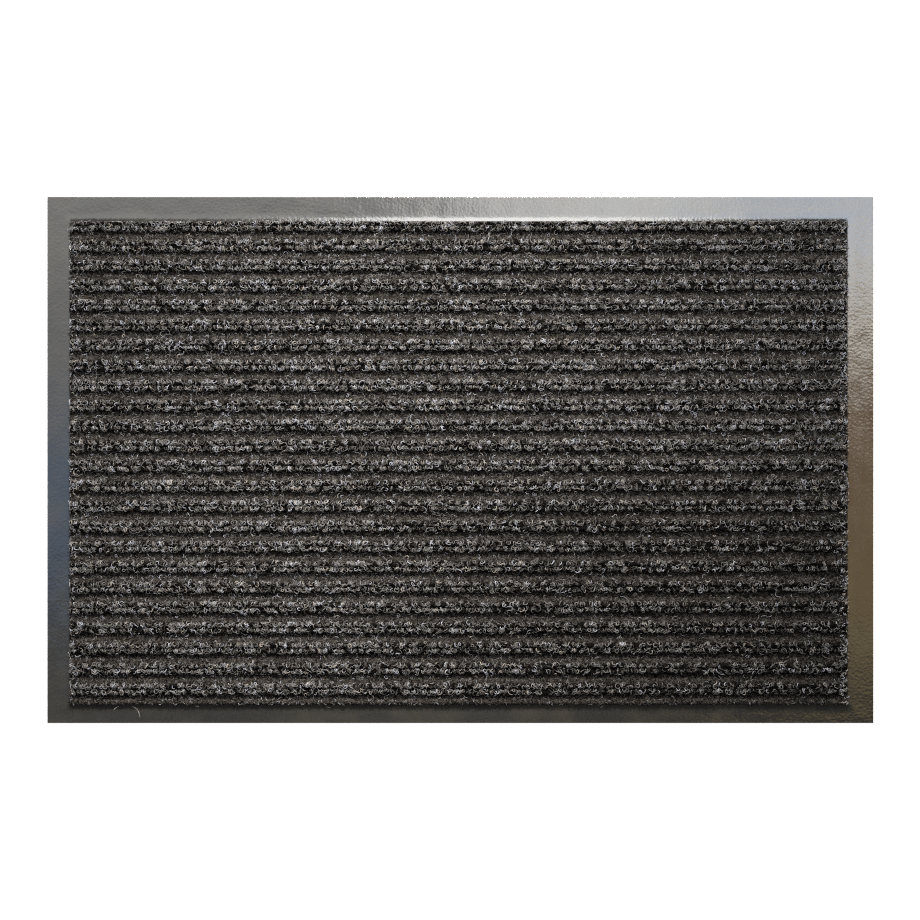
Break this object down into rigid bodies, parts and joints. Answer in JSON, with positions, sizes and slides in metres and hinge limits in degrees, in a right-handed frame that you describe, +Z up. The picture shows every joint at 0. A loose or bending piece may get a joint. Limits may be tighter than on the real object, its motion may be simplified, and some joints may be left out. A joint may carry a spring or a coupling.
{
  "type": "door mat",
  "caption": "Ribbed entrance mat: looped pile rows on a needle-felt carpet, set into a flexible PVC sheet with a smooth flat border.",
  "frame": {"origin": "middle of the underside, on the floor", "axes": "+X along the long side and along the ribs, +Y towards the back edge, +Z up out of the pile"},
  "size_m": [0.785, 0.5, 0.0078],
  "materials": {
    "backing": "smooth flexible PVC with a fine leathery grain and a soft sheen",
    "felt": "flat needle-punched felt, brown-black",
    "pile": "looped polypropylene pile, mixed light grey, mid grey and charcoal"
  },
  "bodies": {
    "root": {"backing_sheet": "backing", "felt_carpet": "felt", "double_rib_01": "pile", "double_rib_02": "pile", "double_rib_03": "pile", "double_rib_04": "pile", "double_rib_05": "pile", "double_rib_06": "pile", "double_rib_07": "pile", "double_rib_08": "pile", "double_rib_09": "pile", "double_rib_10": "pile", "double_rib_11": "pile", "double_rib_12": "pile", "double_rib_13": "pile", "double_rib_14": "pile", "double_rib_15": "pile", "double_rib_16": "pile", "double_rib_17": "pile", "double_rib_18": "pile", "double_rib_19": "pile", "double_rib_20": "pile", "double_rib_21": "pile", "double_rib_22": "pile", "double_rib_23": "pile", "double_rib_24": "pile"}
  },
  "joints": []
}
